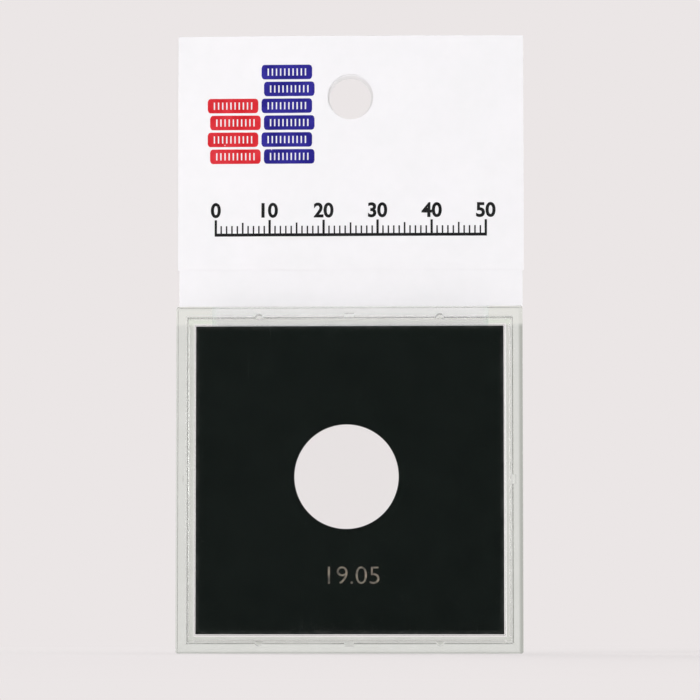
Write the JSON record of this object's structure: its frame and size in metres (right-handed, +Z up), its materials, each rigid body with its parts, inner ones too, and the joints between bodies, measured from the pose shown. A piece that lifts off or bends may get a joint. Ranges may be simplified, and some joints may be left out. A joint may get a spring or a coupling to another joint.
{
  "type": "coin holder",
  "caption": "Square clear press-fit case with a black coin insert between its covers, on a white film header with a hang hole.",
  "frame": {"origin": "centre of the hang hole, at the middle of the back film's thickness", "axes": "+Z up, +X to the right seen from the front, -Y out of the front face"},
  "size_m": [0.064, 0.0067, 0.1143],
  "materials": {
    "clear_plastic": "clear polished rigid plastic",
    "black_plastic": "flat black sheet with a faint satin face",
    "white_film": "white opaque film, slightly cloudy",
    "clear_tape": "hazy double-sided adhesive tape",
    "foil": "worn pale foil stamping",
    "black_ink": "black printing ink on film",
    "red_ink": "red printing ink on film",
    "blue_ink": "dark blue printing ink on film"
  },
  "bodies": {
    "header": {"header_back": "white_film", "header_front": "white_film"},
    "case": {"back_cover": "clear_plastic", "header_foot": "white_film", "header_tape": "clear_tape"},
    "front_cover": {"front_cover": "clear_plastic"},
    "insert": {"insert": "black_plastic"}
  },
  "joints": [
    {"name": "header_fold", "type": "hinge", "parent": "header", "child": "case", "pos_m": [0, 0.00015, -0.0385], "axis": [1, 0, 0], "range_deg": [-85, 175], "stiffness_Nm_per_rad": 0.04},
    {"name": "cover_lift", "type": "slide", "parent": "case", "child": "front_cover", "axis": [0, -1, 0], "range_m": [0, 0.04]},
    {"name": "insert_lift", "type": "slide", "parent": "case", "child": "insert", "axis": [0, -1, 0], "range_m": [0, 0.016]}
  ],
  "couplings": [
    {"joint": "insert_lift", "follows": "cover_lift", "ratio": 0.4}
  ]
}
